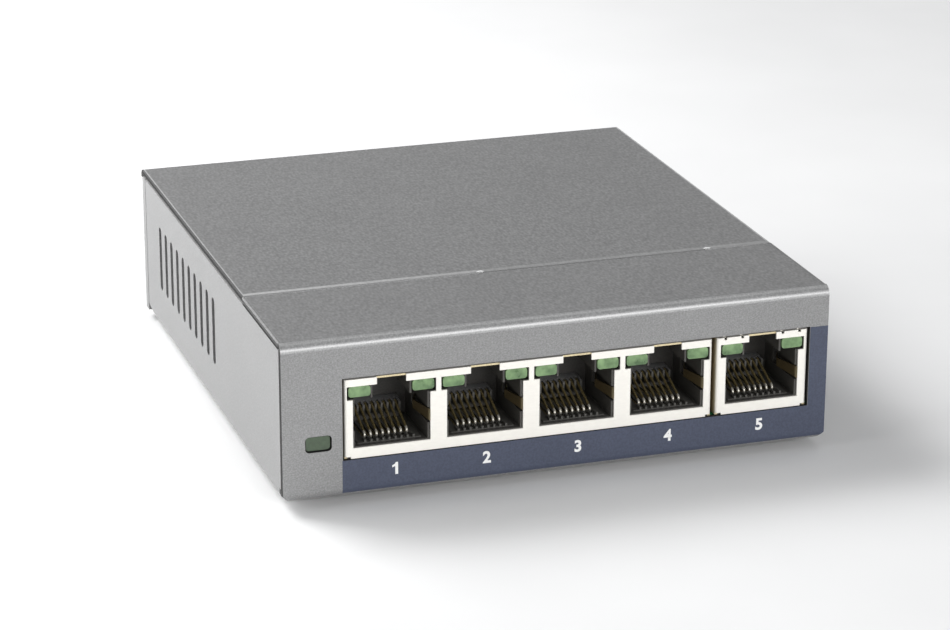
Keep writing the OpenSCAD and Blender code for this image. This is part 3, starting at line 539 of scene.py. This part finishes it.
SPOTS = {
    "painted_steel": [
        (RAW_EDGE_AND_SHADE, is_cut_edge),
        (STRIP_EDGE, is_strip_edge),
        (SEAM_HIGHLIGHT_EDGE, is_seam_edge),
        (TONGUE_SHADE_EDGE, is_tongue_edge),
        (SHADED_EDGE, is_shaded_edge),
        (BEND_HIGHLIGHT_COAT, is_top_bend),
        (TOP_COAT, is_top),
        (COVER_COAT, is_cover_top),
        (WALL_TOP, is_wall_top),
        (NOTCH_GLINT_STEEL, is_notch),
    ],
    "shield_tin": [(BRASS_WITH_SHADE, is_bare_brass), (SHIELD_SIDE, is_shield_side)],
    "carrier_plastic": [(COMB_TOP_LIGHT, is_comb_top)],
}


def dress(node):
    """Gives a CAD node the finish of its slot, and another one to its cut edges and to its spots of painted
    light and shade.
    """
    mesh = nodes[node].data
    slot = mesh.materials[0].name.split(".")[0]
    picked = []
    for face in mesh.polygons:
        spots = [finish for finish, is_spot in SPOTS.get(slot, []) if is_spot(face.center, face.normal)]
        picked.append(spots[-1] if spots else SLOT_FINISH[slot])
    used = list(dict.fromkeys(picked))
    mesh.materials.clear()
    for finish in used:
        mesh.materials.append(finish)
    for face, finish in zip(mesh.polygons, picked):
        face.material_index = used.index(finish)


for name in nodes:
    dress(name)


# Edges of the strip, and print on the front panel


def add_mesh(name, points, faces, material):
    mesh = bpy.data.meshes.new(name)
    mesh.from_pydata(points, [], faces)
    mesh.validate()
    mesh.update()
    mesh.materials.append(material)
    piece = bpy.data.objects.new(name, mesh)
    bpy.context.scene.collection.objects.link(piece)
    return piece


def slab(name, outline, front, back, material):
    """A flat plate of any outline in X and Z, between two planes of Y."""
    count = len(outline)
    points = [(x, y, z) for y in (front, back) for x, z in outline]
    faces = [list(range(count)), list(range(2 * count - 1, count - 1, -1))]
    for i in range(count):
        j = (i + 1) % count
        faces.append([i, i + count, j + count, j])
    return add_mesh(name, points, faces, material)


def strip_side(name, side):
    """Outer edge of the strip beside its solid, which brings it to the width of the front panel."""
    inner = STRIP_X - EDGE_R - STRIP_LIFT
    bottom = ROOF_Z - SHEET_T
    top = ROOF_Z + STRIP_LIFT
    outline = [(inner, bottom), (SIDE_X, bottom)]
    for k in range(ARC_STEPS + 1):
        turn = math.radians(90) * k / ARC_STEPS
        outline.append((SIDE_X - EDGE_R + EDGE_R * math.cos(turn), top - EDGE_R + EDGE_R * math.sin(turn)))
    outline.append((inner, top))
    if side < 0:
        outline = [(-x, z) for x, z in reversed(outline)]
    piece = slab(name, outline, FRONT_Y + BEND_R, STRIP_Y, SHADED_EDGE)
    piece.data.materials.append(STEEL)
    piece.data.materials.append(TOP_COAT)
    for face in piece.data.polygons:
        face.material_index = int(face.normal.z > RISING) + int(face.normal.z > LEVEL)
    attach(piece, "case")


def bent_band(name, left, material):
    """A plate of ink on the front panel that runs on round the panel's lower bend."""
    middle = Vector((FRONT_Y + BEND_R, CASE_Z + BEND_R))
    turns = [BAND_WRAP * k / ARC_STEPS for k in range(ARC_STEPS + 1)]
    outward = [Vector((-1, 0))] + [Vector((-math.cos(a), -math.sin(a))) for a in turns]
    places = [Vector((FRONT_Y, BAND_TOP))] + [middle + way * BEND_R for way in outward[1:]]
    points = []
    for side in (1, -1):
        for place, way in zip(places, outward):
            y, z = place + way * INK_T * side
            right = SIDE_X - max(0.0, CORNER_CUT - (place.y - CASE_Z))
            points += [(left, y, z), (right, y, z)]
    rows = len(places)
    under = 2 * rows
    last = under - 1
    faces = [[0, 1, under + 1, under], [last, last - 1, under + last - 1, under + last]]
    for row in range(rows - 1):
        a, b, c, d = 2 * row, 2 * row + 1, 2 * row + 3, 2 * row + 2
        faces += [[a, d, c, b], [under + a, under + b, under + c, under + d]]
        faces += [[a, under + a, under + d, d], [b, c, under + c, under + b]]
    return add_mesh(name, points, faces, material)


def printed_band():
    """The dark band under the ports, and its block at the right of them."""
    block = [
        (BAND_BLOCK_LEFT, BAND_TOP),
        (SIDE_X, BAND_TOP),
        (SIDE_X, BAND_BLOCK_TOP),
        (BAND_BLOCK_LEFT, BAND_BLOCK_TOP),
    ]
    for piece in (
        slab("printed_block", block, FRONT_Y - INK_T, FRONT_Y + INK_T, INK),
        bent_band("printed_band", BAND_LEFT, INK),
    ):
        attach(piece, "case")


def figure_mesh(i):
    """A plain bold figure, flat in X and Y."""
    if i == 1:
        mesh = bpy.data.meshes.new("figure_1")
        mesh.from_pydata([(x, y, 0) for x, y in FIGURE_ONE], [], [list(range(len(FIGURE_ONE)))])
        return mesh
    curve = bpy.data.curves.new(f"figure_{i}", "FONT")
    curve.body = str(i)
    curve.offset = NUMBER_BOLD
    text = bpy.data.objects.new(f"figure_{i}", curve)
    bpy.context.scene.collection.objects.link(text)
    bpy.context.view_layer.update()
    mesh = bpy.data.meshes.new_from_object(text.evaluated_get(bpy.context.evaluated_depsgraph_get()))
    bpy.data.objects.remove(text)
    return mesh


def port_number(i, x):
    """A figure in white ink under a port."""
    mesh = figure_mesh(i)
    low = Vector(min(v.co[k] for v in mesh.vertices) for k in range(3))
    high = Vector(max(v.co[k] for v in mesh.vertices) for k in range(3))
    scale = NUMBER_H / (high.y - low.y)
    middle = (low + high) / 2
    y = FRONT_Y - 2 * INK_T
    for v in mesh.vertices:
        v.co = Vector((x + (v.co.x - middle.x) * scale, y, NUMBER_Z + (v.co.y - middle.y) * scale))
    mesh.materials.clear()
    mesh.materials.append(WHITE_INK)
    mesh.update()
    figure = bpy.data.objects.new(f"port_number_{i}", mesh)
    bpy.context.scene.collection.objects.link(figure)
    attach(figure, "case")


strip_side("strip_side_left", -1)
strip_side("strip_side_right", 1)
printed_band()
for count, at in enumerate(NUMBER_X, 1):
    port_number(count, at)


# Camera, floor and light

CAMERA_AT = Vector((-163.1, -501.3, 198.7)) * MM
PAN, TILT, ROLL = (math.radians(a) for a in (18.205, -19.539, -0.157))
FOCAL_MM = 119.55
SENSOR_MM = 36
CLIP_START = 10 * MM
FLOOR_HALF = 3.0
FLOOR_TONE = 0.86
WORLD_TINT = (0.95, 0.97, 1.0, 1)
WORLD_STRENGTH = 0.2
LIGHT_AIM = Vector((0, 0, 15)) * MM
# Name of each light, its place and size in metres, and its power in watts
LIGHTS = [
    ("key_left", (-1.0, 0.15, 0.4), (0.9, 0.7), 6.2),
    ("front_fill", (-0.4, -1.2, 0.45), (1.4, 0.8), 3.6),
    ("overhead", (-0.28, 0.3, 0.42), (0.3, 0.3), 3.35),
    ("bend_light", (0.29, 0.1, 0.95), (0.3, 0.3), 0.6),
    ("front_strip", (0.37, -1.125, 0.4), (0.5, 0.4), 7.0),
]


def add_camera():
    forward = Vector((math.sin(PAN) * math.cos(TILT), math.cos(PAN) * math.cos(TILT), math.sin(TILT)))
    right = Vector((math.cos(PAN), -math.sin(PAN), 0))
    down = forward.cross(right)
    right, down = (
        right * math.cos(ROLL) + down * math.sin(ROLL),
        down * math.cos(ROLL) - right * math.sin(ROLL),
    )
    data = bpy.data.cameras.new("camera")
    data.sensor_fit = "HORIZONTAL"
    data.sensor_width = SENSOR_MM
    data.lens = FOCAL_MM
    data.clip_start = CLIP_START
    camera = bpy.data.objects.new("camera", data)
    turn = Matrix((right, -down, -forward)).transposed().to_4x4()
    camera.matrix_world = Matrix.Translation(CAMERA_AT) @ turn
    bpy.context.scene.collection.objects.link(camera)
    bpy.context.scene.camera = camera


def add_floor():
    material = grained("pale_floor", grey(FLOOR_TONE), 0.015, 60 * MM, (0.6, 0.7), 0.02 * MM)
    corners = [(x * FLOOR_HALF, y * FLOOR_HALF, 0) for x, y in ((-1, -1), (1, -1), (1, 1), (-1, 1))]
    floor = add_mesh("floor", corners, [[0, 1, 2, 3]], material)


def add_light(name, place, size, power):
    data = bpy.data.lights.new(name, "AREA")
    data.shape = "RECTANGLE"
    data.size, data.size_y = size
    data.energy = power
    light = bpy.data.objects.new(name, data)
    light.location = place
    aim = LIGHT_AIM - Vector(place)
    light.rotation_euler = aim.to_track_quat("-Z", "Y").to_euler()
    bpy.context.scene.collection.objects.link(light)


def add_world():
    world = bpy.data.worlds.new("studio")
    world.use_nodes = True
    background = world.node_tree.nodes["Background"]
    background.inputs["Color"].default_value = WORLD_TINT
    background.inputs["Strength"].default_value = WORLD_STRENGTH
    bpy.context.scene.world = world


add_camera()
add_floor()
add_world()
for light in LIGHTS:
    add_light(*light)
bpy.context.scene.view_settings.view_transform = "Standard"
